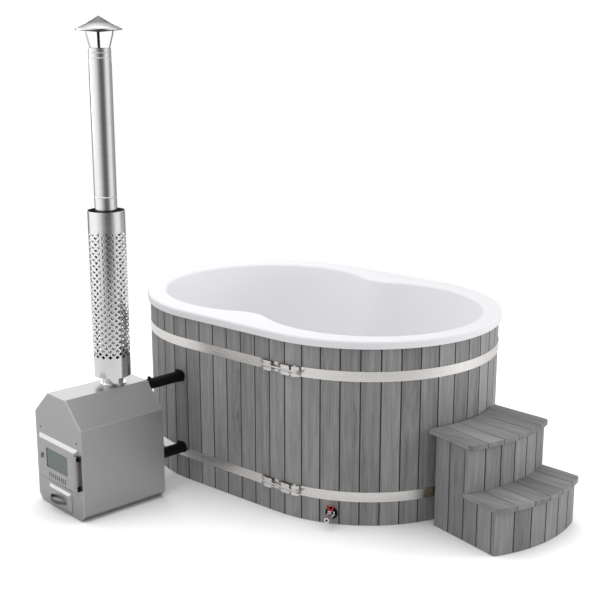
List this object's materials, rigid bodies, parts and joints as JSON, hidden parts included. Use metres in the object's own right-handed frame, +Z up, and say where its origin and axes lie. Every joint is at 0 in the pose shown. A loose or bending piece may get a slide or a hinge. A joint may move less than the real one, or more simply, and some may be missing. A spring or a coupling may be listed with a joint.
{
  "type": "wooden hot tub",
  "caption": "Oval hot tub of grey upright boards with steel bands, a moulded liner, an outside wood stove with flue and heat shield, hoses, a drain valve and curved wooden steps.",
  "frame": {"origin": "on the floor under the middle of the tub, on the lower face of the middle bearer", "axes": "+X along the tub towards the steps, -Y towards the side with the stove, +Z up"},
  "size_m": [2.5663, 2.165, 2.413],
  "materials": {
    "band_steel": "stainless band, brushed along its length",
    "black_plastic": "black plastic",
    "cast_iron": "raw cast iron",
    "chrome": "bright chrome",
    "dark_steel": "sooty dark steel",
    "frame_wood": "sawn pine, untreated",
    "grey_wood": "grey stained spruce boards with a fine vertical grain",
    "hose_rubber": "smooth black rubber",
    "liner_plastic": "white moulded liner, satin gloss",
    "pipe_steel": "polished stainless pipe",
    "red_plastic": "red coated handle",
    "rod_steel": "threaded stainless rod",
    "seal_rope": "woven glass-fibre rope",
    "stove_steel": "fine brushed stainless sheet",
    "window_glass": "heat-proof glass with a grey-green cast"
  },
  "bodies": {
    "tub": {"bearers": "frame_wood", "deck": "frame_wood", "frame_hoops": "frame_wood", "frame_posts": "frame_wood", "wall_boards_left": "grey_wood", "wall_boards_front": "grey_wood", "wall_boards_right": "grey_wood", "wall_boards_back": "grey_wood", "liner": "liner_plastic", "band_upper": "band_steel", "band_lower": "band_steel", "clamp_brackets": "band_steel", "clamp_rods": "rod_steel", "clamp_nuts": "rod_steel", "band_rivets": "band_steel", "drain_rosette": "black_plastic", "drain_valve": "chrome", "drain_pipe": "pipe_steel", "drain_strainer": "chrome", "tub_ports": "black_plastic", "port_pipes": "pipe_steel", "port_grilles": "chrome", "hose_upper": "hose_rubber", "hose_lower": "hose_rubber", "hose_clips": "black_plastic", "stove_casing": "stove_steel", "front_plate": "stove_steel", "firebox": "dark_steel", "grate": "cast_iron", "stove_ports": "pipe_steel", "plate_screws": "rod_steel", "hinge_blocks": "black_plastic", "hinge_sleeves": "pipe_steel", "hinge_pin": "rod_steel", "flue_spigot": "pipe_steel", "flue_lower": "pipe_steel", "flue_upper": "pipe_steel", "flue_end": "pipe_steel", "heat_shield": "pipe_steel", "shield_spacers": "pipe_steel", "cap_straps": "pipe_steel", "rain_cap": "pipe_steel", "step_posts": "frame_wood", "step_sides": "grey_wood", "riser_lower": "grey_wood", "riser_upper": "grey_wood", "tread_lower": "grey_wood", "tread_upper": "grey_wood"},
    "stove_door": {"door_pan": "stove_steel", "door_barrel": "rod_steel", "door_glass": "window_glass", "glass_clips": "rod_steel", "door_seal": "seal_rope"},
    "door_latch": {"latch_knob": "black_plastic"},
    "ash_drawer": {"ash_tray": "dark_steel", "drawer_front": "stove_steel", "drawer_handle": "pipe_steel"},
    "drain_tap": {"valve_ball": "chrome", "valve_handle": "red_plastic"}
  },
  "joints": [
    {"name": "stove_door_hinge", "type": "hinge", "parent": "tub", "child": "stove_door", "pos_m": [-0.3284, -1.44049, 0.253], "axis": [0, 0, 1], "range_deg": [0, 110]},
    {"name": "door_latch_turn", "type": "hinge", "parent": "stove_door", "child": "door_latch", "pos_m": [-0.64421, -1.39444, 0.261], "axis": [-0.1132, -0.9936, 0], "range_deg": [0, 90]},
    {"name": "ash_drawer_slide", "type": "slide", "parent": "tub", "child": "ash_drawer", "axis": [-0.1132, -0.9936, 0], "range_m": [0, 0.26]},
    {"name": "drain_handle_turn", "type": "hinge", "parent": "tub", "child": "drain_tap", "pos_m": [0.62542, -0.65075, 0.07], "axis": [0, 0, 1], "range_deg": [0, 90]}
  ]
}
